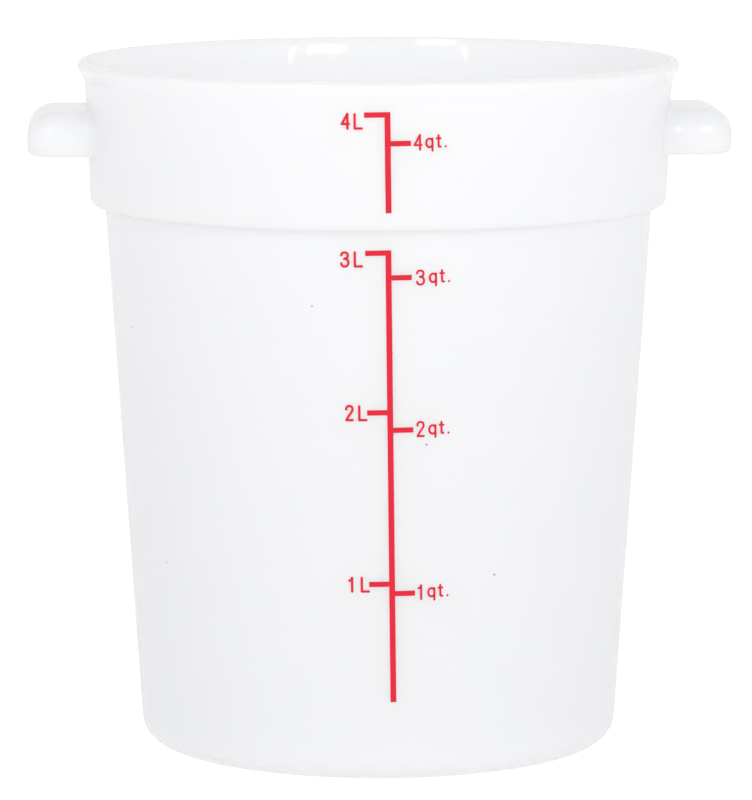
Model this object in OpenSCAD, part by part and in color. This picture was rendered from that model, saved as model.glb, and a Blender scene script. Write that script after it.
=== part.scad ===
// Round food tub for proofing dough: one moulding with a tapered lower wall, a stacking shoulder,
// a straighter upper band, a beaded rim and two hollow tab handles, with a fill scale printed on it.
// The foot stands on z = 0, the axis is Z, the handles lie along X and the scale faces -Y.

/* [Tub] */
// Height from the foot to the top of the rim
tub_h = 214.6; // [160:0.1:280]
// Outer diameter of the rim
rim_d = 187.4; // [140:0.1:240]
// Wall thickness, measured level
wall_t = 2.2; // [1.6:0.1:3.4]
// Height of the upper band, from the shoulder to the top of the rim
band_h = 45; // [35:0.5:60]
// Width of the stacking shoulder
shoulder_w = 4.5; // [3:0.1:7]
// Taper of the upper band, in degrees from upright
band_draft = 2.35; // [0.5:0.05:4]
// Taper of the lower wall, in degrees from upright
wall_draft = 3.8; // [1:0.05:5]
// Radius of the outer edge of the shoulder
shoulder_r = 2.2; // [0.5:0.1:2.8]

/* [Rim] */
// How far the bead of the rim stands out from the band
rim_lip = 2.3; // [1.5:0.1:4]
// Height of the bead, from the corner under it to the top of the rim
rim_h = 6.4; // [5:0.1:10]
// Radius of the rim's outer top edge
rim_outer_r = 1.9; // [0.5:0.1:1.9]
// Radius of the rim's inner top edge
rim_inner_r = 0.4; // [0.3:0.1:0.7]
// Taper of the flared mouth inside the rim, in degrees from upright
flare_draft = 25; // [8:0.5:26]
// Height of the flared mouth, from the corner under it to the top of the rim
flare_h = 3; // [2.8:0.1:5]
// Radius of the curve that leads into the flared mouth
flare_r = 14; // [3:0.5:14.5]

/* [Floor] */
// Thickness of the floor
floor_t = 2.4; // [1.6:0.1:4]
// How far the floor is raised inside the foot ring
foot_rise = 1.2; // [0.6:0.1:2]
// Width of the flat foot ring
foot_w = 4.5; // [3:0.1:10]
// Radius of the outer corner between floor and wall
foot_r = 8; // [4:0.1:12]
// Radius of the shallow gate dimple in the underside
gate_r = 4; // [2:0.1:8]
// Depth of the gate dimple
gate_depth = 0.5; // [0.3:0.1:0.8]

/* [Handles] */
// Width of a handle, along the wall
handle_w = 44; // [34:0.5:60]
// How far a handle stands out beyond the rim
handle_reach = 15.5; // [10:0.1:24]
// Height of a handle, from its hem to its roof
handle_h = 14; // [11.5:0.1:18]
// Distance from the top of the rim down to the roof of a handle
handle_drop = 14.7; // [10:0.1:20]
// Wall thickness of a handle
handle_t = 2.4; // [1.8:0.1:3]
// Radius of the outer corners of a handle in plan
handle_corner_r = 9; // [8.6:0.1:14]
// Radius of the top edge of a handle
handle_edge_r = 7.8; // [4:0.1:8.4]
// Width of the flat left on a handle's hem, the rest of which is rounded
handle_hem_w = 0.4; // [0.3:0.1:1.6]
// Radius of the fillet where the skirt of a handle runs into the band
handle_root_r = 6; // [2:0.1:10]
// How far the root fillets sink into the band, so that they cut it cleanly
root_sink = 0.2; // [0.1:0.05:0.4]
// How much thicker the band is inside the pocket of a handle
pocket_pad = 0.3; // [0.2:0.1:1]

/* [Printed scale] */
// Number of whole litres and of whole quarts that are marked
scale_marks = 4; // [1:1:5]
// Width of the upright line
line_w = 1.75; // [1:0.05:3]
// Thickness of a tick
tick_t = 1.6; // [1:0.05:3]
// Length of a tick, from the middle of the line
tick_l = 6.9; // [4:0.1:12]
// Height of the line's lower end above the foot
scale_foot = 25.2; // [15:0.1:40]
// Least distance from the print to the shoulder and to the rim's bead
scale_gap = 3; // [1:0.1:5]
// Distance from the shoulder up to the lower end of the upper line
band_line_gap = 5.8; // [3:0.1:10]
// Lean of the printed scale, in degrees from upright
scale_lean = 0.85; // [-2:0.05:2]
// Height at which the leaning line crosses the middle of the tub
scale_pivot = 83; // [20:1:120]
// Thickness of the ink
ink_t = 0.1; // [0.05:0.01:0.3]

/* [Hidden] */
$fn = 96;

quart = 0.946353;
eps = 0.01;
web_overlap = 0.1;

// Outer radii and heights, worked down from the rim
rim_rad = rim_d / 2;
lip_z = tub_h - rim_h;
shoulder_z = tub_h - band_h;
lip_rad = rim_rad - rim_lip;
band_foot_rad = lip_rad - (lip_z - shoulder_z) * tan(band_draft);
wall_top_rad = band_foot_rad - shoulder_w;
wall_foot_rad = wall_top_rad - shoulder_z * tan(wall_draft);

function band_rad(z) = band_foot_rad + (z - shoulder_z) * tan(band_draft);
function wall_rad(z) = wall_foot_rad + z * tan(wall_draft);

// Inside of the tub
floor_z = foot_rise + floor_t;
floor_r = max(foot_r - wall_t, 1);
ledge_z = shoulder_z + wall_t;
flare_z = tub_h - flare_h;
flare_foot_rad = band_rad(flare_z) - wall_t;
mouth_rad = flare_foot_rad + flare_h * tan(flare_draft);

// The foot ring starts where the rounding of the outer corner ends
foot_out_rad = wall_foot_rad - foot_r * (1 - sin(wall_draft)) / cos(wall_draft);
foot_in_rad = foot_out_rad - foot_w;

// Height at which the tub holds a number of litres: the floor corner takes a little away, and each
// tapered stretch is a frustum whose radius follows from the cube of the volume
function cone_volume(r0, r1, taper) = PI * (pow(r1, 3) - pow(r0, 3)) / (3 * tan(taper));
function cone_top_rad(r0, taper, volume) = pow(pow(r0, 3) + 3 * tan(taper) * volume / PI, 1 / 3);
floor_rad = wall_rad(floor_z) - wall_t;
ledge_rad = wall_rad(ledge_z) - wall_t;
ledge_out_rad = band_rad(ledge_z) - wall_t;
corner_loss = (1 - PI / 4) * pow(floor_r, 2) * 2 * PI * (floor_rad - floor_r / 4);
ledge_volume = cone_volume(floor_rad, ledge_rad, wall_draft) - corner_loss;
function fill_height(litres) =
    let (volume = litres * 1e6)
    volume < ledge_volume
    ? floor_z + (cone_top_rad(floor_rad, wall_draft, volume + corner_loss) - floor_rad) / tan(wall_draft)
    : ledge_z + (cone_top_rad(ledge_out_rad, band_draft, volume - ledge_volume) - ledge_out_rad)
      / tan(band_draft);

// Heights of the marks, and those that fall on each printed field
litre_z = [for (n = [1:scale_marks]) fill_height(n)];
quart_z = [for (n = [1:scale_marks]) fill_height(n * quart)];
lower_field = [scale_foot, shoulder_z - scale_gap];
upper_field = [shoulder_z + band_line_gap, lip_z - eps];
function on_field(marks, field) =
    [for (z = marks) if (z - tick_t / 2 > field[0] && z + tick_t / 2 < field[1]) z];
function top_mark(field) =
    let (marks = concat(on_field(litre_z, field), on_field(quart_z, field)))
    len(marks) > 0 ? max(marks) + tick_t / 2 : field[1] - scale_gap;

// Handle: its skirt turns round two corner centres, and fillets round two root centres join it
// to the band
handle_z = tub_h - handle_drop - handle_h;
core_x = rim_rad + handle_reach - handle_corner_r;
core_y = handle_w / 2 - handle_corner_r;
hem_rad = band_rad(handle_z) - root_sink;
root_y = handle_w / 2 + handle_root_r;
root_x = sqrt(pow(hem_rad + handle_root_r, 2) - pow(root_y, 2));
root_turn = atan2(root_y, root_x);
core_start = hem_rad - handle_corner_r;

// Outline with rounded corners: each point is [x, y, radius], in anticlockwise order. A corner's web
// reaches a little past the corner, so that it overlaps what it is added to or cut from.
function leg(p, q) = [q[0] - p[0], q[1] - p[1]] / norm([q[0] - p[0], q[1] - p[1]]);
function turn(a, b) = a[0] * b[1] - a[1] * b[0];
module corner_web(p, to_last, to_next, r) {
    half = acos(to_last * to_next) / 2;
    corner = [p[0], p[1]];
    middle = (to_last + to_next) / norm(to_last + to_next);
    centre = corner + middle * r / sin(half);
    tip = corner - middle * r * web_overlap;
    difference() {
        polygon([tip, corner + to_last * r / tan(half), centre, corner + to_next * r / tan(half)]);
        translate(centre) circle(r);
    }
}
module corner_webs(pts, side) {
    n = len(pts);
    for (i = [0:n - 1]) {
        to_last = leg(pts[i], pts[(i + n - 1) % n]);
        to_next = leg(pts[i], pts[(i + 1) % n]);
        if (pts[i][2] > 0 && side * turn(to_next, to_last) > 0) corner_web(pts[i], to_last, to_next, pts[i][2]);
    }
}
module rounded_outline(pts) {
    difference() {
        union() {
            polygon([for (p = pts) [p[0], p[1]]]);
            corner_webs(pts, -1);
        }
        corner_webs(pts, 1);
    }
}

// Tub without its hollow, turned from its outer profile
module tub_blank() {
    rotate([0, 0, 90]) rotate_extrude() rounded_outline([
        [0, foot_rise, 0],
        [foot_in_rad - foot_rise, foot_rise, foot_rise / 2],
        [foot_in_rad, 0, foot_rise / 2],
        [wall_foot_rad, 0, foot_r],
        [wall_top_rad, shoulder_z, 1],
        [band_foot_rad, shoulder_z, shoulder_r],
        [lip_rad, lip_z, 1.5],
        [rim_rad, tub_h - rim_outer_r - 0.3, 0.8],
        [rim_rad, tub_h, rim_outer_r],
        [0, tub_h, 0]]);
}

// Hollow of the tub, open at the mouth, with the room above the rim that rounds its inner edge
module tub_hollow() {
    rotate([0, 0, 90]) rotate_extrude() rounded_outline([
        [0, floor_z, 0],
        [floor_rad, floor_z, floor_r],
        [ledge_rad, ledge_z, 1],
        [ledge_out_rad, ledge_z, 1],
        [flare_foot_rad, flare_z, flare_r],
        [mouth_rad, tub_h, rim_inner_r],
        [rim_rad + 1, tub_h, 0],
        [rim_rad + 1, tub_h + 1, 0],
        [0, tub_h + 1, 0]]);
}

// Half profile of the skirt: x runs outwards from the core, y up from the hem
module skirt_outline(inset) {
    reach = handle_corner_r - inset;
    rise = handle_h - inset;
    rounded_outline([
        [0, 0, 0],
        [reach, 0, max(handle_t - handle_hem_w - inset, 0)],
        [reach, rise, handle_edge_r - inset],
        [0, rise, 0]]);
}

// Plan of the fillet between one side of a handle and the band
module root_plan() {
    difference() {
        polygon([
            [core_start, core_y],
            [root_x, core_y],
            [root_x, root_y],
            [hem_rad * cos(root_turn), hem_rad * sin(root_turn)]]);
        translate([root_x, root_y]) circle(handle_root_r);
    }
}

// One handle as a solid tab, or the room inside it when inset by the handle's wall
module tab(inset) {
    translate([core_start, -core_y, 0]) cube([core_x - core_start, 2 * core_y, handle_h - inset]);
    translate([core_x, core_y, 0]) rotate([90, 0, 0]) linear_extrude(2 * core_y) skirt_outline(inset);
    for (side = [0, 1]) mirror([0, side, 0]) {
        translate([core_start, core_y, 0]) rotate([90, 0, 90])
            linear_extrude(core_x - core_start) skirt_outline(inset);
        translate([core_x, core_y, 0]) rotate_extrude(angle = 90) skirt_outline(inset);
    }
}
module handle() {
    translate([0, 0, handle_z]) {
        tab(0);
        for (side = [0, 1]) mirror([0, side, 0]) linear_extrude(handle_h - handle_edge_r) root_plan();
    }
}

// Finger pocket under a handle, which stops short of the band's face
module pocket() {
    difference() {
        translate([0, 0, handle_z]) tab(handle_t);
        translate([0, 0, shoulder_z])
            cylinder(h = band_h, r1 = band_foot_rad + pocket_pad, r2 = band_rad(tub_h) + pocket_pad);
    }
}

module tub() {
    color([0.96, 0.97, 0.98])
    difference() {
        union() {
            tub_blank();
            for (end = [0, 1]) mirror([end, 0, 0]) handle();
        }
        tub_hollow();
        for (end = [0, 1]) mirror([end, 0, 0]) pocket();
        translate([0, 0, foot_rise - eps]) cylinder(h = gate_depth + eps, r = gate_r);
    }
}

// Film of ink that covers a tapered wall between two heights
module film(z0, z1, r0, r1) {
    rotate([0, 0, 240]) rotate_extrude(angle = 60)
        polygon([[r0, z0], [r0 + ink_t, z0], [r1 + ink_t, z1], [r1, z1]]);
}

// Flat drawing of the line and its ticks: litres to the left and quarts to the right
module scale_drawing(foot, top, field) {
    translate([0, scale_pivot]) rotate(scale_lean) translate([0, -scale_pivot]) {
        translate([-line_w / 2, foot]) square([line_w, top - foot]);
        for (z = on_field(litre_z, field)) translate([-tick_l, z - tick_t / 2]) square([tick_l, tick_t]);
        for (z = on_field(quart_z, field)) translate([0, z - tick_t / 2]) square([tick_l, tick_t]);
    }
}
module printed(foot, top, field) {
    rotate([90, 0, 0]) linear_extrude(rim_d) scale_drawing(foot, top, field);
}

module upper_scale() {
    color([0.9, 0.2, 0.25])
    intersection() {
        film(shoulder_z + shoulder_r, lip_z - eps, band_rad(shoulder_z + shoulder_r), band_rad(lip_z - eps));
        printed(upper_field[0], top_mark(upper_field), upper_field);
    }
}

module lower_scale() {
    color([0.9, 0.2, 0.25])
    intersection() {
        film(foot_r, shoulder_z - 1, wall_rad(foot_r), wall_rad(shoulder_z - 1));
        printed(lower_field[0], top_mark(lower_field), lower_field);
    }
}

tub();
upper_scale();
lower_scale();
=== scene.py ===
import math
import bpy
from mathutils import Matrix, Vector
from mathutils.kdtree import KDTree


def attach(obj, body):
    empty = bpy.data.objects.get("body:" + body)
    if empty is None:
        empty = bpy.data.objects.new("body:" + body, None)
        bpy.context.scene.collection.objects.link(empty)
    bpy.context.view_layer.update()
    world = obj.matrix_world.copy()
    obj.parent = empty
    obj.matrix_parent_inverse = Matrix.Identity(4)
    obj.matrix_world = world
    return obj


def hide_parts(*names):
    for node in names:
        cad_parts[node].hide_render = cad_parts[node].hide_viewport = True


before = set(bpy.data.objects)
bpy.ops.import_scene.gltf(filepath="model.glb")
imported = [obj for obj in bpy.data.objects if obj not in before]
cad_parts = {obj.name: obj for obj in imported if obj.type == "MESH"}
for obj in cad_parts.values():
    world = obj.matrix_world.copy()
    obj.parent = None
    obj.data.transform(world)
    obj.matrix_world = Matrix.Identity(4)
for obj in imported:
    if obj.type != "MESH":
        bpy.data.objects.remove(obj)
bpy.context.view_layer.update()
scene = bpy.context.scene
scene.view_settings.view_transform = "Standard"
print("frame loaded")

mm = 0.001
tubSizes = {  # the moulding, in millimetres: the same values as the part's source
    "height": 214.6, "rim": 93.7, "wall": 2.2, "band": 45.0, "shoulder": 4.5, "shoulderRound": 2.2,
    "bandDraft": 2.35, "wallDraft": 3.8, "lip": 2.3, "bead": 6.4, "rimOuterRound": 1.9,
    "rimInnerRound": 0.4, "flareDraft": 25.0, "flareHeight": 3.0, "flareRound": 14.0, "floor": 2.4,
    "footRise": 1.2, "footWidth": 4.5, "footRound": 8.0, "gateRadius": 4.0, "gateDepth": 0.5,
    "segments": 384,
}
bandSlope = math.tan(math.radians(tubSizes["bandDraft"]))
wallSlope = math.tan(math.radians(tubSizes["wallDraft"]))
lipZ = tubSizes["height"] - tubSizes["bead"]
shoulderZ = tubSizes["height"] - tubSizes["band"]
lipRadius = tubSizes["rim"] - tubSizes["lip"]
bandFoot = lipRadius - (lipZ - shoulderZ) * bandSlope
wallTop = bandFoot - tubSizes["shoulder"]
wallFoot = wallTop - shoulderZ * wallSlope


handleSizes = {
    "width": 44.0, "reach": 15.5, "height": 14.0, "drop": 14.7, "wall": 2.4,
    "cornerRound": 9.0, "edgeRound": 7.8, "rootRound": 6.0, "hemRound": 2.0, "hemInner": 0.2,
    "pad": 0.3,  # how much thicker the band is inside the pocket
    "windowLow": 182.5, "windowHigh": 204.5,  # the stretch of band that each handle is moulded into
    "windowSteps": 25,  # half its width, in facets of the tub
    "windowRows": 25,  # its height, in rows of faces
    "rootBlend": 1.5,  # how far from the seam the surfaces are eased into each other
}


def bandRadius(z):
    return bandFoot + (z - shoulderZ) * bandSlope


def wallRadius(z):
    return wallFoot + z * wallSlope


def outsideRadius(z):
    return bandRadius(z) if z > shoulderZ else wallRadius(z)


def deselectAll():
    if bpy.context.object and bpy.context.object.mode != "OBJECT":
        bpy.ops.object.mode_set(mode="OBJECT")
    bpy.ops.object.select_all(action="DESELECT")


def takeUp(piece):  # makes one piece the selected and active one
    deselectAll()
    piece.select_set(True)
    bpy.context.view_layer.objects.active = piece


def settle(piece, name):  # place and scale go into the mesh
    takeUp(piece)
    bpy.ops.object.transform_apply(location=True, rotation=True, scale=True)
    piece.name = name
    piece.data.name = name


def joinPieces(pieces, name):
    deselectAll()
    for piece in pieces:
        piece.select_set(True)
    bpy.context.view_layer.objects.active = pieces[0]
    if len(pieces) > 1:
        bpy.ops.object.join()
    joined = bpy.context.object
    settle(joined, name)
    return joined


def roundedPath(corners, arcStep=9):
    # corners are (x, y, rounding) and arcStep is in degrees; the two ends are kept sharp
    path = []
    for i, (x, y, rounding) in enumerate(corners):
        if rounding <= 0 or i in (0, len(corners) - 1):
            path.append((x, y))
            continue
        here = Vector((x, y))
        back = (Vector(corners[i - 1][:2]) - here).normalized()
        ahead = (Vector(corners[i + 1][:2]) - here).normalized()
        half = math.acos(max(-1.0, min(1.0, back.dot(ahead)))) / 2
        centre = here + (back + ahead).normalized() * (rounding / math.sin(half))
        first = here + back * (rounding / math.tan(half)) - centre
        last = here + ahead * (rounding / math.tan(half)) - centre
        sweep = math.atan2(first.x * last.y - first.y * last.x, first.dot(last))
        steps = max(2, math.ceil(abs(math.degrees(sweep)) / arcStep))
        for k in range(steps + 1):
            turn = sweep * k / steps
            path.append((centre.x + first.x * math.cos(turn) - first.y * math.sin(turn),
                         centre.y + first.x * math.sin(turn) + first.y * math.cos(turn)))
    return path


def withStops(path, gap):
    # long straight stretches get more rings, so that no face is much taller than it is wide
    full = [path[0]]
    for (r0, z0), (r1, z1) in zip(path, path[1:]):
        inWindow = handleSizes["windowLow"] <= min(z0, z1) and max(z0, z1) <= handleSizes["windowHigh"]
        parts = max(1, math.ceil(round(math.hypot(r1 - r0, z1 - z0), 1) / gap))
        if inWindow and r0 > bandRadius(z0) - 1:
            parts = handleSizes["windowRows"]
        full += [(r0 + (r1 - r0) * k / parts, z0 + (z1 - z0) * k / parts)
                 for k in range(1, parts + 1)]
    return full


def turned(path, segments, name):
    # a disc whose edge is extruded ring by ring along a profile of (radius, height) in mm
    deselectAll()
    r, z = path[0]
    bpy.ops.mesh.primitive_circle_add(vertices=segments, radius=r * mm, location=(0, 0, z * mm),
                                      fill_type="TRIFAN")
    piece = bpy.context.object
    bpy.ops.object.mode_set(mode="EDIT")
    bpy.ops.mesh.select_mode(type="VERT")
    bpy.ops.mesh.select_all(action="DESELECT")
    bpy.ops.object.mode_set(mode="OBJECT")
    for vertex in piece.data.vertices:
        vertex.select = vertex.co.xy.length > r * mm / 2
    bpy.ops.object.mode_set(mode="EDIT")
    bpy.ops.mesh.select_mode(type="EDGE")
    for nextR, nextZ in path[1:]:
        bpy.ops.mesh.extrude_edges_move(
            TRANSFORM_OT_translate={"value": (0, 0, (nextZ - z) * mm)})
        bpy.ops.transform.resize(value=(nextR / r, nextR / r, 1),
                                 center_override=(0, 0, nextZ * mm))
        r, z = nextR, nextZ
    bpy.ops.mesh.edge_face_add()  # the middle of the inside floor
    bpy.ops.mesh.poke()
    bpy.ops.mesh.select_all(action="SELECT")
    bpy.ops.mesh.normals_make_consistent(inside=False)
    bpy.ops.object.mode_set(mode="OBJECT")
    settle(piece, name)
    return piece


def tubProfile():
    s = tubSizes
    footOut = wallFoot - s["footRound"] * (1 - math.sin(math.radians(s["wallDraft"]))) \
        / math.cos(math.radians(s["wallDraft"]))
    footIn = footOut - s["footWidth"]
    outside = [
        (s["gateRadius"] / 2, s["footRise"] + s["gateDepth"], 0),
        (s["gateRadius"], s["footRise"] + s["gateDepth"], 0.2),
        (s["gateRadius"] + 0.1, s["footRise"], 0.2),
        (footIn - s["footRise"], s["footRise"], s["footRise"] / 2),
        (footIn, 0, s["footRise"] / 2),
        (wallFoot, 0, s["footRound"]),
        (wallTop, shoulderZ, 1.0),
        (bandFoot, shoulderZ, s["shoulderRound"]),
        (bandRadius(handleSizes["windowLow"]), handleSizes["windowLow"], 0),
        (bandRadius(handleSizes["windowHigh"]), handleSizes["windowHigh"], 0),
        (lipRadius, lipZ, 1.5),
        (s["rim"], s["height"] - s["rimOuterRound"] - 0.3, 0.8),
        (s["rim"], s["height"], s["rimOuterRound"]),
    ]
    floorZ = s["footRise"] + s["floor"]
    ledgeZ = shoulderZ + s["wall"]
    flareZ = s["height"] - s["flareHeight"]
    flareFoot = bandRadius(flareZ) - s["wall"]
    inside = [
        (flareFoot + s["flareHeight"] * math.tan(math.radians(s["flareDraft"])), s["height"],
         s["rimInnerRound"]),
        (flareFoot, flareZ, s["flareRound"]),
        (bandRadius(ledgeZ) - s["wall"], ledgeZ, 1.0),
        (wallRadius(ledgeZ) - s["wall"], ledgeZ, 1.0),
        (wallRadius(floorZ) - s["wall"], floorZ, s["footRound"] - s["wall"]),
        (2.0, floorZ, 0),
    ]
    return withStops(roundedPath(outside + inside), 6.0)


hemZ = tubSizes["height"] - handleSizes["drop"] - handleSizes["height"]
roofZ = hemZ + handleSizes["height"]
edgeZ = roofZ - handleSizes["edgeRound"]
facetTurn = 2 * math.pi / tubSizes["segments"]

tubBody = turned(tubProfile(), tubSizes["segments"], "tubBody")
print("tub turned")


def skirtPlan(inset, z, back):
    # plan of the handle's skirt, from the band on one side round to the band on the other
    s = handleSizes
    cornerX = tubSizes["rim"] + s["reach"] - s["cornerRound"]
    cornerY = s["width"] / 2 - s["cornerRound"]
    cornerR = s["cornerRound"] - inset
    rootR = s["rootRound"] + inset
    rootY = s["width"] / 2 + s["rootRound"]
    rootAway = bandRadius(hemZ) + s["rootRound"]
    rootX = math.sqrt(rootAway ** 2 - rootY ** 2)
    share = (back ** 2 + rootAway ** 2 - rootR ** 2) / (2 * back * rootAway)
    meets = math.atan2(rootY, rootX) - math.acos(min(1.0, share))
    first = math.atan2(back * math.sin(meets) - rootY, back * math.cos(meets) - rootX)
    last = -math.pi / 2
    side = []
    for k in range(8):  # the root fillet, from the band to the side
        angle = first + (last - first) * k / 7
        side.append((rootX + rootR * math.cos(angle), rootY + rootR * math.sin(angle)))
    for k in range(1, 4):  # the straight side
        side.append((rootX + (cornerX - rootX) * k / 3, cornerY + cornerR))
    for k in range(1, 11):  # the corner
        angle = math.pi / 2 * (1 - k / 10)
        side.append((cornerX + cornerR * math.cos(angle), cornerY + cornerR * math.sin(angle)))
    for k in range(1, 5):  # half of the end
        side.append((cornerX + cornerR, cornerY * (1 - k / 5)))
    plan = side + [(cornerX + cornerR, 0.0)] + [(x, -y) for x, y in reversed(side)]
    return [(x, y, z) for x, y in plan]


def bandArc(first, last, z, radius, steps):
    return [(radius * math.cos(first + (last - first) * k / steps),
             radius * math.sin(first + (last - first) * k / steps), z) for k in range(steps + 1)]


def closedRing(inset, z, proud):
    # the skirt's plan, closed along the band
    back = bandRadius(z) + proud
    plan = skirtPlan(inset, z, back)
    across = 2 * handleSizes["windowSteps"]
    reach = math.atan2(plan[0][1], plan[0][0])
    return plan + bandArc(-reach, reach, z, back, across)[1:-1]


def quarterTurn(steps, start=0):
    return [(math.sin(math.pi / 2 * k / steps), math.cos(math.pi / 2 * k / steps))
            for k in range(start, steps + 1)]


def pocketRings():
    # from the pocket's roof down its wall and round the hem
    s = handleSizes
    inner = s["edgeRound"] - s["wall"]
    rings = [closedRing(s["wall"] + inner * (1 - down), edgeZ + inner * up, s["pad"])
             for down, up in quarterTurn(8)]
    rings += [closedRing(s["wall"], edgeZ + (hemZ + s["hemInner"] - edgeZ) * k / 3, s["pad"])
              for k in range(1, 4)]
    rings += [closedRing(s["wall"] - s["hemInner"] * (1 - up),
                         hemZ + s["hemInner"] * (1 - out), s["pad"])
              for out, up in quarterTurn(2, 1)]
    rings.append(closedRing(s["hemRound"], hemZ, 0.0))
    return rings


def skirtRows():
    # from the hem up the skirt, over the edge and along the roof to the band
    s = handleSizes

    def row(inset, z):
        return skirtPlan(inset, z, bandRadius(z))

    rows = [row(s["hemRound"], hemZ)]
    rows += [row(s["hemRound"] * (1 - out), hemZ + s["hemRound"] * (1 - up))
             for out, up in quarterTurn(6, 1)]
    rows += [row(0, hemZ + s["hemRound"] + (edgeZ - hemZ - s["hemRound"]) * k / 3)
             for k in range(1, 4)]
    rows += [row(s["edgeRound"] * (1 - out), edgeZ + s["edgeRound"] * up)
             for up, out in quarterTurn(11, 1)]
    rim = rows[-1]
    reach = math.atan2(rim[0][1], rim[0][0])
    seam = bandArc(reach, -reach, roofZ, bandRadius(roofZ), len(rim) - 1)
    for part in (0.35, 0.65, 0.85, 0.94, 1.0):
        rows.append([tuple(a + (b - a) * part for a, b in zip(p, q)) for p, q in zip(rim, seam)])
    return rows


def seamLoop(rows):
    # where the handle leaves the band: along the hem, up one side, over the roof, down the other
    reach = math.atan2(rows[0][0][1], rows[0][0][0])
    hem = bandArc(-reach, reach, hemZ, bandRadius(hemZ), 2 * handleSizes["windowSteps"])
    return (hem[:-1] + [row[0] for row in rows[:-1]] + rows[-1][:-1]
            + [row[-1] for row in reversed(rows[1:])])


def windowLoop(height):
    # the edge of the window in the band, with as many points on each side as the seam
    s = handleSizes
    half = s["windowSteps"] * facetTurn
    step = (s["windowHigh"] - s["windowLow"]) / height
    across = 2 * s["windowSteps"]

    def spot(angle, z):
        return (bandRadius(z) * math.cos(angle), bandRadius(z) * math.sin(angle), z)

    loop = [spot(-half + facetTurn * k, s["windowLow"]) for k in range(across)]
    loop += [spot(half, s["windowLow"] + step * k) for k in range(height)]
    loop += [spot(half - facetTurn * k, s["windowHigh"]) for k in range(across)]
    loop += [spot(-half, s["windowHigh"] - step * k) for k in range(height)]
    return loop


def bandRings(seam, window):
    # the band between the seam and the window, close rings first
    rings = []
    for away in (0.0, 0.7, 1.6, None, None, None, None):
        ring = []
        left = 4 - sum(1 for r in rings[3:])  # rings still to come after the close ones
        for (x0, y0, z0), (x1, y1, z1) in zip(seam, window):
            a0, a1 = math.atan2(y0, x0), math.atan2(y1, x1)
            gap = math.hypot((a1 - a0) * bandRadius(z0), z1 - z0)
            part = away / gap if away is not None else 1.6 / gap + (1 - 1.6 / gap) * (5 - left) / 4
            angle, z = a0 + (a1 - a0) * part, z0 + (z1 - z0) * part
            ring.append((bandRadius(z) * math.cos(angle), bandRadius(z) * math.sin(angle), z))
        rings.append(ring)
    return rings


def extrudedRings(rings, caps, name):
    # a polygon whose edge is extruded from ring to ring, every ring with as many points, and with
    # none, the first or both of its ends closed
    deselectAll()
    count = len(rings[0])
    bpy.ops.mesh.primitive_circle_add(vertices=count, radius=10 * mm,
                                      fill_type="NGON" if caps else "NOTHING")
    piece = bpy.context.object
    bpy.ops.object.mode_set(mode="EDIT")
    bpy.ops.mesh.select_mode(type="EDGE")
    bpy.ops.mesh.select_all(action="SELECT")
    for ring in rings[1:]:
        bpy.ops.mesh.extrude_edges_move(TRANSFORM_OT_translate={"value": (0, 0, mm)})
    if caps == 2:
        bpy.ops.mesh.edge_face_add()
    bpy.ops.object.mode_set(mode="OBJECT")
    for n, ring in enumerate(rings):  # each extruded ring takes its place
        for k, place in enumerate(ring):
            piece.data.vertices[n * count + k].co = Vector(place) * mm
    settle(piece, name)
    return piece


def laidGrid(rows, name):
    # a grid whose rows take their places
    deselectAll()
    bpy.ops.mesh.primitive_grid_add(x_subdivisions=len(rows[0]) - 1, y_subdivisions=len(rows) - 1)
    piece = bpy.context.object
    for n, row in enumerate(rows):
        for k, place in enumerate(row):
            piece.data.vertices[n * len(row) + k].co = Vector(place) * mm
    settle(piece, name)
    return piece


def selectVertices(piece, chosen):
    takeUp(piece)
    bpy.ops.object.mode_set(mode="EDIT")
    bpy.ops.mesh.select_mode(type="VERT")
    bpy.ops.mesh.select_all(action="DESELECT")
    bpy.ops.object.mode_set(mode="OBJECT")
    for vertex in piece.data.vertices:
        vertex.select = chosen(vertex.co / mm)
    bpy.ops.object.mode_set(mode="EDIT")


def cutWindows(piece):
    # takes out the outer face of the band where the handles go
    s = handleSizes
    takeUp(piece)
    bpy.ops.object.mode_set(mode="EDIT")
    bpy.ops.mesh.select_mode(type="FACE")
    bpy.ops.mesh.select_all(action="DESELECT")
    bpy.ops.object.mode_set(mode="OBJECT")
    for face in piece.data.polygons:
        x, y, z = face.center / mm
        face.select = (s["windowLow"] < z < s["windowHigh"]
                       and math.hypot(x, y) > bandRadius(z) - 1
                       and math.atan2(abs(y), abs(x)) < s["windowSteps"] * facetTurn)
    bpy.ops.object.mode_set(mode="EDIT")
    bpy.ops.mesh.delete(type="FACE")
    bpy.ops.object.mode_set(mode="OBJECT")


rows = skirtRows()
seam = seamLoop(rows)
rings = bandRings(seam, windowLoop(handleSizes["windowRows"]))
rightHandle = joinPieces([extrudedRings(pocketRings(), 1, "pocket"), laidGrid(rows, "skirt"),
                          extrudedRings(rings, 0, "bandAround")], "rightHandle")
leftHandle = rightHandle.copy()
leftHandle.data = rightHandle.data.copy()
scene.collection.objects.link(leftHandle)
leftHandle.rotation_euler[2] = math.pi
settle(leftHandle, "leftHandle")
cutWindows(tubBody)
tubBody = joinPieces([tubBody, rightHandle, leftHandle], "tubBody")
selectVertices(tubBody, lambda p: abs(p.x) > 80 and abs(p.y) < 40 and 182 < p.z < 205
               and p.xy.length > bandRadius(p.z) - 1)
bpy.ops.mesh.remove_doubles(threshold=0.02 * mm)
bpy.ops.mesh.select_all(action="SELECT")
bpy.ops.mesh.normals_make_consistent(inside=False)
bpy.ops.object.mode_set(mode="OBJECT")

seamTree = KDTree(len(seam))
for k, place in enumerate(seam):
    seamTree.insert(place, k)
seamTree.balance()


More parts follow.
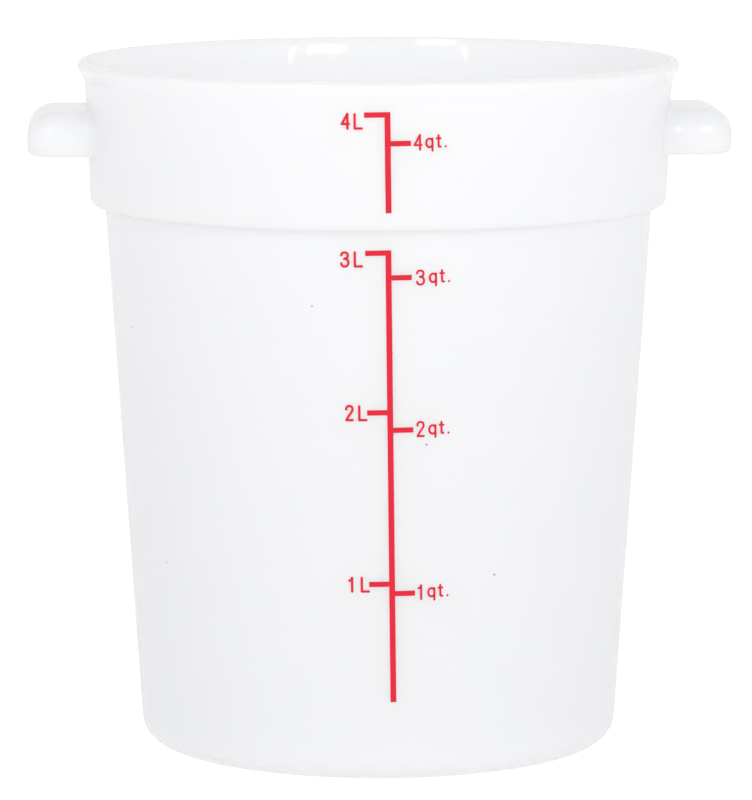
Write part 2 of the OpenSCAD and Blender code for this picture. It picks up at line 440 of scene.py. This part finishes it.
def nearSeam(p):
    if abs(p.x) < 85 or p.z < edgeZ - 1 or p.z > roofZ + 3:
        return False
    mirrored = p if p.x > 0 else Vector((-p.x, -p.y, p.z))
    return seamTree.find(mirrored)[2] < handleSizes["rootBlend"] and p.xy.length > 89


selectVertices(tubBody, nearSeam)
bpy.ops.mesh.vertices_smooth(factor=0.5, repeat=6)
bpy.ops.mesh.select_all(action="DESELECT")
bpy.ops.mesh.select_non_manifold()
bpy.ops.object.mode_set(mode="OBJECT")
looseEdges = sum(1 for edge in tubBody.data.edges if edge.select)
print("handles moulded, open edges:", looseEdges)
bpy.ops.object.shade_smooth_by_angle(angle=math.radians(38))

scaleSizes = {  # the printed scale, in millimetres
    "lineWidth": 1.75, "tick": 1.6, "tickLength": 6.9, "lean": 0.85, "pivot": 83.0,
    "ink": 0.07, "sunk": 0.05,
    "lowerLine": (25.2, 163.79), "upperLine": (175.4, 205.58),
    "litres": (61.86, 114.56, 162.99, 204.78), "quarts": (58.89, 109.13, 155.45, 196.14),
}
lean = math.radians(scaleSizes["lean"])


def onWall(x, z, proud):
    # a point of the flat drawing, leant and laid on the front of the tub, in millimetres
    pivot = scaleSizes["pivot"]
    flatX = x * math.cos(lean) - (z - pivot) * math.sin(lean)
    flatZ = pivot + x * math.sin(lean) + (z - pivot) * math.cos(lean)
    r = outsideRadius(flatZ) + proud
    return (flatX, -math.sqrt(r * r - flatX * flatX), flatZ)


def printedBar(x0, x1, z0, z1, name):
    # a bar of ink: a fine grid, pulled on to the wall and given the ink's thickness
    s = scaleSizes
    deselectAll()
    acrossCuts = max(2, math.ceil((x1 - x0) / 0.9))
    upCuts = max(2, math.ceil((z1 - z0) / 4))
    bpy.ops.mesh.primitive_grid_add(x_subdivisions=acrossCuts, y_subdivisions=upCuts, size=1)
    piece = bpy.context.object
    bpy.ops.object.mode_set(mode="EDIT")
    bpy.ops.mesh.select_all(action="SELECT")
    bpy.ops.mesh.extrude_region_move(TRANSFORM_OT_translate={"value": (0, 0, 1)})
    bpy.ops.mesh.select_all(action="SELECT")
    bpy.ops.mesh.normals_make_consistent(inside=False)
    bpy.ops.object.mode_set(mode="OBJECT")
    for vertex in piece.data.vertices:
        x = x0 + (vertex.co.x + 0.5) * (x1 - x0)
        z = z0 + (vertex.co.y + 0.5) * (z1 - z0)
        vertex.co = Vector(onWall(x, z, s["ink"] if vertex.co.z > 0.5 else -s["sunk"])) * mm
    settle(piece, name)
    return piece


def printedScale(line, litres, quarts, name):
    s = scaleSizes
    half = s["lineWidth"] / 2
    bars = [printedBar(-half, half, line[0], line[1], name + "Line")]
    for z in litres:
        bars.append(printedBar(-s["tickLength"], -half, z - s["tick"] / 2, z + s["tick"] / 2,
                               name + "Litre"))
    for z in quarts:
        bars.append(printedBar(half, s["tickLength"], z - s["tick"] / 2, z + s["tick"] / 2,
                               name + "Quart"))
    return joinPieces(bars, name)


upperPrint = printedScale(scaleSizes["upperLine"], scaleSizes["litres"][3:],
                          scaleSizes["quarts"][3:], "upperPrint")
lowerPrint = printedScale(scaleSizes["lowerLine"], scaleSizes["litres"][:3],
                          scaleSizes["quarts"][:3], "lowerPrint")
print("scale printed")

# strokes of each figure in millimetres from its left edge and foot, along the middle of the pen
figureStrokes = {
    "1": [[(0.37, 3.72), (0.8, 3.95), (1.1, 4.3), (1.17, 4.62), (1.17, 0.37)]],
    "2": [[(0.4, 3.68), (0.48, 4.2), (0.82, 4.6), (1.32, 4.72), (1.84, 4.58), (2.2, 4.2),
           (2.26, 3.68), (2.08, 3.1), (1.6, 2.35), (0.96, 1.4), (0.42, 0.4), (2.28, 0.4)]],
    "3": [[(0.42, 3.8), (0.58, 4.28), (0.96, 4.55), (1.42, 4.6), (1.9, 4.48), (2.27, 4.1),
           (2.33, 3.55), (2.12, 3.05), (1.74, 2.8), (1.3, 2.72)],
          [(1.3, 2.72), (1.84, 2.62), (2.28, 2.28), (2.47, 1.68), (2.38, 1.02), (2.0, 0.52),
           (1.42, 0.36), (0.86, 0.48), (0.48, 0.88), (0.38, 1.3)]],
    "4": [[(2.08, 0.37), (2.08, 4.72), (0.42, 1.73), (2.5, 1.73)]],
    "L": [[(0.37, 4.62), (0.37, 0.37), (2.45, 0.37)]],
    "q": [[(2.16, 2.2), (1.84, 2.68), (1.34, 2.85), (0.82, 2.68), (0.46, 2.22), (0.33, 1.57),
           (0.46, 0.92), (0.82, 0.46), (1.34, 0.3), (1.84, 0.46), (2.16, 0.94)],
          [(2.18, 2.84), (2.18, -0.72)]],
    "t": [[(0.52, 3.74), (0.52, 0.82), (0.62, 0.48), (0.86, 0.34), (1.12, 0.34)],
          [(0.0, 2.88), (1.08, 2.88)]],
    ".": [[(0.0, 0.36), (0.0, 0.42)]],
}
figureSizes = {"litrePen": 0.74, "quartPen": 0.65, "sharpTurn": 50}


def turnsBetween(points):
    # a pen line is cut where it turns sharply, and each stretch is smoothed
    cuts = [0]
    for i in range(1, len(points) - 1):
        back = Vector(points[i]) - Vector(points[i - 1])
        ahead = Vector(points[i + 1]) - Vector(points[i])
        if math.degrees(back.angle(ahead)) > figureSizes["sharpTurn"]:
            cuts.append(i)
    cuts.append(len(points) - 1)
    return [points[a:b + 1] for a, b in zip(cuts, cuts[1:])]


def smoothed(points, parts=3):
    # more points on a curve through the given ones
    if len(points) < 3:
        return [Vector(p) for p in points]
    spots = [Vector(p) for p in points]
    spots = [spots[0] * 2 - spots[1]] + spots + [spots[-1] * 2 - spots[-2]]
    curve = []
    for a, b, c, d in zip(spots, spots[1:], spots[2:], spots[3:]):
        for k in range(parts):
            t = k / parts
            curve.append((b * 2 + (c - a) * t + (a * 2 - b * 5 + c * 4 - d) * t ** 2
                          + (b * 3 - a - c * 3 + d) * t ** 3) / 2)
    return curve + [spots[-2]]


def penStroke(points, pen, name):
    # a flat pen line with round ends: a four-cornered section carried along the wall
    line = smoothed(points)
    half = pen / 2
    first, last = (line[1] - line[0]).normalized(), (line[-1] - line[-2]).normalized()
    sections = []  # place, direction and half width
    for turn in (78, 52, 26):
        angle = math.radians(turn)
        sections.append((line[0] - first * half * math.sin(angle), first, half * math.cos(angle)))
    for i, spot in enumerate(line):
        back = (spot - line[i - 1]).normalized() if i else first
        ahead = (line[i + 1] - spot).normalized() if i < len(line) - 1 else last
        sections.append((spot, (back + ahead).normalized(), half))
    for turn in (26, 52, 78):
        angle = math.radians(turn)
        sections.append((line[-1] + last * half * math.sin(angle), last, half * math.cos(angle)))
    rings = []
    for spot, along, width in sections:
        side = Vector((-along.y, along.x)) * width
        left, right = spot + side, spot - side
        rings.append([onWall(left.x, left.y, -scaleSizes["sunk"]),
                      onWall(right.x, right.y, -scaleSizes["sunk"]),
                      onWall(right.x, right.y, scaleSizes["ink"]),
                      onWall(left.x, left.y, scaleSizes["ink"])])
    return extrudedRings(rings, 2, name)


def printedFigure(letter, left, foot, pen):
    strokes = []
    for points in figureStrokes[letter]:
        for stretch in turnsBetween([(left + x, foot + z) for x, z in points]):
            strokes.append(penStroke(stretch, pen, "stroke"))
    return strokes


# for each mark: the left edge of its figure and of its unit, and how far below it they stand
litrePlaces = ((-13.2, -9.5, 2.55), (-13.5, -9.6, 2.57), (-14.4, -10.35, 4.3), (-13.9, -10.05, 4.33))
quartPlaces = ((7.6, 10.6, 2.3), (7.75, 11.4, 2.4), (8.1, 12.0, 2.6), (7.5, 11.1, 2.3))
quartSteps = {"rise": 0.72, "t": 3.5, "dot": 6.15}  # the unit's foot, and its second and third sign

litreRows, quartRows = [], []
for count in range(4):
    left, unitLeft, below = litrePlaces[count]
    foot = scaleSizes["litres"][count] - below
    litreRows += printedFigure(str(count + 1), left, foot, figureSizes["litrePen"])
    litreRows += printedFigure("L", unitLeft, foot, figureSizes["litrePen"])
    left, unitLeft, below = quartPlaces[count]
    foot = scaleSizes["quarts"][count] - below
    quartRows += printedFigure(str(count + 1), left, foot, figureSizes["quartPen"])
    foot += quartSteps["rise"]
    quartRows += printedFigure("q", unitLeft, foot, figureSizes["quartPen"])
    quartRows += printedFigure("t", unitLeft + quartSteps["t"], foot, figureSizes["quartPen"])
    quartRows += printedFigure(".", unitLeft + quartSteps["dot"], foot, figureSizes["quartPen"])
litreFigures = joinPieces(litreRows, "litreFigures")
quartFigures = joinPieces(quartRows, "quartFigures")
for figures in (litreFigures, quartFigures):
    takeUp(figures)
    bpy.ops.object.mode_set(mode="EDIT")
    bpy.ops.mesh.select_all(action="SELECT")
    bpy.ops.mesh.normals_make_consistent(inside=False)
    bpy.ops.object.mode_set(mode="OBJECT")
print("figures printed")


def hexColour(value):  # sRGB hex to the linear colour that a socket takes
    parts = [int(value[k:k + 2], 16) / 255 for k in (1, 3, 5)]
    linear = [c / 12.92 if c <= 0.04045 else ((c + 0.055) / 1.055) ** 2.4 for c in parts]
    return (*linear, 1.0)


def addNode(material, kind, settings, links=()):
    # one node with its values, and links given as (input, node, output)
    tree = material.node_tree
    node = tree.nodes.new(kind)
    for key, value in settings.items():
        if isinstance(key, int) or key in node.inputs:
            node.inputs[key].default_value = value
        else:
            setattr(node, key, value)
    for socket, source, output in links:
        tree.links.new(source.outputs[output], node.inputs[socket])
    return node


def newMaterial(name):
    material = bpy.data.materials.new(name)
    material.use_nodes = True
    for node in list(material.node_tree.nodes):
        material.node_tree.nodes.remove(node)
    return material


def finishMaterial(material, shader):
    output = addNode(material, "ShaderNodeOutputMaterial", {})
    material.node_tree.links.new(shader.outputs[0], output.inputs["Surface"])


polypropyleneSizes = {
    "flow": 22, "speck": 11, "speckSize": 0.045, "scuffWidth": 0.5, "scuffLength": 45,
    "footWear": 1.6, "shoulderWear": 169.6, "rimWear": 212.4,
}


def wornBand(material, height, centre, reach):
    # 1 at a height on the tub, falling to 0 at reach mm above and below it
    off = addNode(material, "ShaderNodeMath", {"operation": "SUBTRACT", 1: centre * mm},
                  [(0, height, "Z")])
    far = addNode(material, "ShaderNodeMath", {"operation": "ABSOLUTE"}, [(0, off, 0)])
    return addNode(material, "ShaderNodeMapRange",
                   {"From Min": 0.0, "From Max": reach * mm, "To Min": 1.0, "To Max": 0.0},
                   [("Value", far, 0)])


def nestingWear(material, place):
    # fine upright scuffs from other tubs, mostly where they touch: foot, shoulder and rim
    stretch = addNode(material, "ShaderNodeMapping", {
        "Scale": (1 / (polypropyleneSizes["scuffWidth"] * mm),
                  1 / (polypropyleneSizes["scuffWidth"] * mm),
                  1 / (polypropyleneSizes["scuffLength"] * mm))}, [("Vector", place, "Object")])
    streaks = addNode(material, "ShaderNodeTexNoise", {"Scale": 1.0, "Detail": 2.0},
                      [("Vector", stretch, "Vector")])
    scuffs = addNode(material, "ShaderNodeMapRange",
                     {"From Min": 0.62, "From Max": 0.74}, [("Value", streaks, "Fac")])
    height = addNode(material, "ShaderNodeSeparateXYZ", {}, [(0, place, "Object")])
    foot = wornBand(material, height, polypropyleneSizes["footWear"], 4.0)
    shoulder = wornBand(material, height, polypropyleneSizes["shoulderWear"], 3.0)
    rim = wornBand(material, height, polypropyleneSizes["rimWear"], 3.5)
    low = addNode(material, "ShaderNodeMath", {"operation": "MAXIMUM"},
                  [(0, foot, "Result"), (1, shoulder, "Result")])
    edges = addNode(material, "ShaderNodeMath", {"operation": "MAXIMUM"},
                    [(0, low, 0), (1, rim, "Result")])
    share = addNode(material, "ShaderNodeMapRange", {"To Min": 0.3, "To Max": 1.0},
                    [("Value", edges, 0)])
    return addNode(material, "ShaderNodeMath", {"operation": "MULTIPLY"},
                   [(0, scuffs, "Result"), (1, share, "Result")])


def greySpecks(material, place):
    # tiny specks of regrind in the plastic, one in every few cells
    cells = addNode(material, "ShaderNodeTexVoronoi",
                    {"Scale": 1 / (polypropyleneSizes["speck"] * mm)},
                    [("Vector", place, "Object")])
    near = addNode(material, "ShaderNodeMapRange", {
        "From Min": polypropyleneSizes["speckSize"] * 0.5, "From Max": polypropyleneSizes["speckSize"],
        "To Min": 1.0, "To Max": 0.0}, [("Value", cells, "Distance")])
    pick = addNode(material, "ShaderNodeSeparateColor", {}, [("Color", cells, "Color")])
    chosen = addNode(material, "ShaderNodeMath", {"operation": "GREATER_THAN", 1: 0.72},
                     [(0, pick, "Red")])
    return addNode(material, "ShaderNodeMath", {"operation": "MULTIPLY"},
                   [(0, near, "Result"), (1, chosen, 0)])


def mouldedPolypropylene():
    # natural polypropylene, injection moulded: milky and a little see-through, with a wavy gloss
    material = newMaterial("naturalPolypropyleneMoulded")
    place = addNode(material, "ShaderNodeTexCoord", {})
    flow = addNode(material, "ShaderNodeTexNoise",
                   {"Scale": 1 / (polypropyleneSizes["flow"] * mm), "Detail": 2.0},
                   [("Vector", place, "Object")])
    milky = addNode(material, "ShaderNodeValToRGB", {}, [("Fac", flow, "Fac")])
    milky.color_ramp.elements[0].color = hexColour("#FBFCFD")
    milky.color_ramp.elements[1].color = hexColour("#FDFDFE")
    wear = nestingWear(material, place)
    specks = greySpecks(material, place)
    dulled = addNode(material, "ShaderNodeMath", {"operation": "MULTIPLY", 1: 0.16},
                     [(0, wear, 0)])
    worn = addNode(material, "ShaderNodeMix", {"data_type": "RGBA", 7: hexColour("#EDEEF0")},
                   [(0, dulled, 0), (6, milky, "Color")])
    tint = addNode(material, "ShaderNodeMix", {"data_type": "RGBA", 7: hexColour("#B9B7B6")},
                   [(0, specks, 0), (6, worn, 2)])
    sinkBump = addNode(material, "ShaderNodeBump", {"Strength": 0.08, "Distance": 0.15 * mm},
                       [("Height", flow, "Fac")])
    polish = addNode(material, "ShaderNodeMapRange",
                     {"To Min": 0.05, "To Max": 0.08}, [("Value", flow, "Fac")])
    roughened = addNode(material, "ShaderNodeMath", {"operation": "MULTIPLY", 1: 0.12},
                        [(0, wear, 0)])
    gloss = addNode(material, "ShaderNodeMath", {"operation": "ADD"},
                    [(0, polish, "Result"), (1, roughened, 0)])
    shader = addNode(material, "ShaderNodeBsdfPrincipled", {
        "IOR": 1.49, "Subsurface Weight": 0.6, "Subsurface Radius": (1.0, 1.0, 1.0),
        "Subsurface Scale": 4 * mm, "Specular IOR Level": 0.9},
        [("Base Color", tint, 2), ("Roughness", gloss, 0), ("Normal", sinkBump, "Normal")])
    milk = addNode(material, "ShaderNodeBsdfTranslucent", {}, [("Color", tint, 2)])
    # light comes through the wall, so that the inside is as bright as the outside
    both = addNode(material, "ShaderNodeMixShader", {0: 0.45}, [(1, shader, 0), (2, milk, 0)])
    finishMaterial(material, both)
    return material


def screenInk():
    # screen-printed ink: a thin even red, mottled by the mesh it was pressed through
    material = newMaterial("redScreenInkPrinted")
    place = addNode(material, "ShaderNodeTexCoord", {})
    mesh = addNode(material, "ShaderNodeTexNoise", {"Scale": 1 / (0.6 * mm), "Detail": 1.0},
                   [("Vector", place, "Object")])
    tint = addNode(material, "ShaderNodeValToRGB", {}, [("Fac", mesh, "Fac")])
    tint.color_ramp.elements[0].color = hexColour("#D61630")
    tint.color_ramp.elements[1].color = hexColour("#E22038")
    shader = addNode(material, "ShaderNodeBsdfPrincipled", {"IOR": 1.5, "Roughness": 0.42, "Specular IOR Level": 0.25},
                     [("Base Color", tint, "Color")])
    finishMaterial(material, shader)
    return material


def dress(piece, material):
    piece.data.materials.clear()
    piece.data.materials.append(material)


plastic = mouldedPolypropylene()
ink = screenInk()
dress(tubBody, plastic)
for piece in (upperPrint, lowerPrint, litreFigures, quartFigures):
    dress(piece, ink)
    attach(piece, "root")
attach(tubBody, "root")
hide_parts("tub")
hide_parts("upper_scale")
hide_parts("lower_scale")
print("materials made")

studioSizes = {  # in metres
    "distance": 1.7004, "aboveRim": 0.1291, "turn": 2.8, "pitch": 0.1383, "floor": 8.0,
    "focal": 5461.04, "shift": 2.4,  # in pixels of the photo
}
turn = math.radians(studioSizes["turn"])
bpy.ops.object.camera_add(
    location=(-studioSizes["distance"] * math.sin(turn), -studioSizes["distance"] * math.cos(turn),
              tubSizes["height"] * mm + studioSizes["aboveRim"]),
    rotation=(math.pi / 2 - studioSizes["pitch"], 0, -turn))
camera = bpy.context.object
camera.data.sensor_fit = "HORIZONTAL"
camera.data.sensor_width = 36
camera.data.lens = 36 * studioSizes["focal"] / 752
camera.data.shift_x = -studioSizes["shift"] / 752
scene.camera = camera

deselectAll()
bpy.ops.mesh.primitive_plane_add(size=studioSizes["floor"], location=(0, 0, 0))
studioFloor = bpy.context.object
settle(studioFloor, "studioFloor")


def seenDirectly(material, skyPlace=None):
    # 1 for rays from the camera, from a glossy surface or through glass, 0 for scattered light;
    # a glossy surface sees the white room but not above it
    path = addNode(material, "ShaderNodeLightPath", {})
    glossy = path, "Is Glossy Ray"
    if skyPlace:
        low = addNode(material, "ShaderNodeMapRange",
                      {"From Min": 0.2, "From Max": 0.5, "To Min": 1.0, "To Max": 0.0},
                      [("Value", skyPlace, "Z")])
        glossy = addNode(material, "ShaderNodeMath", {"operation": "MULTIPLY"},
                         [(0, path, "Is Glossy Ray"), (1, low, "Result")]), 0
    first = addNode(material, "ShaderNodeMath", {"operation": "MAXIMUM"},
                    [(0, path, "Is Camera Ray"), (1, *glossy)])
    return addNode(material, "ShaderNodeMath", {"operation": "MAXIMUM"},
                   [(0, first, 0), (1, path, "Is Transmission Ray")])


def studioPaper():
    # a white table lit from within: seen, it is white but for the soft shadow of the tub
    material = newMaterial("whiteStudioPaper")
    seen = seenDirectly(material)
    tone = addNode(material, "ShaderNodeMapRange", {"To Min": 0.5, "To Max": 0.127},
                   [("Value", seen, 0)])
    paper = addNode(material, "ShaderNodeBsdfDiffuse", {}, [("Color", tone, "Result")])
    white = addNode(material, "ShaderNodeMapRange", {"To Min": 0.55, "To Max": 0.94},
                    [("Value", seen, 0)])
    glow = addNode(material, "ShaderNodeEmission", {}, [("Strength", white, "Result")])
    both = addNode(material, "ShaderNodeAddShader", {}, [(0, paper, 0), (1, glow, 0)])
    finishMaterial(material, both)
    return material


dress(studioFloor, studioPaper())

world = bpy.data.worlds.new("studioWorld")
scene.world = world
world.use_nodes = True
toSky = addNode(world, "ShaderNodeTexCoord", {})
skyPlace = addNode(world, "ShaderNodeSeparateXYZ", {}, [(0, toSky, "Generated")])
# a bright room: its walls give most of the light, less at the sides, and its ceiling is dimmer
ceiling = addNode(world, "ShaderNodeMapRange",
                  {"interpolation_type": "SMOOTHSTEP", "From Min": 0.1, "From Max": 0.85,
                   "To Min": 1.30, "To Max": 0.66}, [("Value", skyPlace, "Z")])
aside = addNode(world, "ShaderNodeMath", {"operation": "ABSOLUTE"}, [(0, skyPlace, "X")])
sides = addNode(world, "ShaderNodeMapRange",
                {"From Min": 0.4, "From Max": 1.0, "To Min": 1.0, "To Max": 0.66},
                [("Value", aside, 0)])
roomLight = addNode(world, "ShaderNodeMath", {"operation": "MULTIPLY"},
                    [(0, ceiling, "Result"), (1, sides, "Result")])
ambient = addNode(world, "ShaderNodeBackground", {"Color": (1, 0.993, 0.987, 1)},
                  [("Strength", roomLight, 0)])
backdrop = addNode(world, "ShaderNodeBackground", {"Color": (1, 1, 1, 1), "Strength": 1.0})
blend = addNode(world, "ShaderNodeMixShader", {},
                [(0, seenDirectly(world, skyPlace), 0), (1, ambient, 0), (2, backdrop, 0)])
world.node_tree.links.new(blend.outputs[0],
                          world.node_tree.nodes["World Output"].inputs["Surface"])

softboxes = {  # place and size in metres, and how bright its cloth is
    "rightSoftbox": {"place": (0.55, -1.503, 0.80), "size": (0.43, 0.68), "glow": 4.0},
    "leftSoftbox": {"place": (-0.8, -1.386, 1.35), "size": (0.49, 0.42), "glow": 3.9},
    "rightStrip": {"place": (0.93, -1.35, 0.6), "size": (0.05, 0.9), "glow": 5.2},
    "leftStrip": {"place": (-1.06, -1.25, 0.6), "size": (0.05, 0.9), "glow": 5.2},
}
for name, box in softboxes.items():
    deselectAll()
    bpy.ops.object.light_add(type="AREA", location=box["place"])
    lamp = bpy.context.object
    lamp.name = name
    lamp.data.shape = "RECTANGLE"
    lamp.data.size, lamp.data.size_y = box["size"]
    lamp.data.energy = box["glow"] * math.pi * lamp.data.size * lamp.data.size_y
    lamp.rotation_euler = (Vector((0, 0, 0.12)) - lamp.location).to_track_quat("-Z", "Y").to_euler()
print("studio lit")
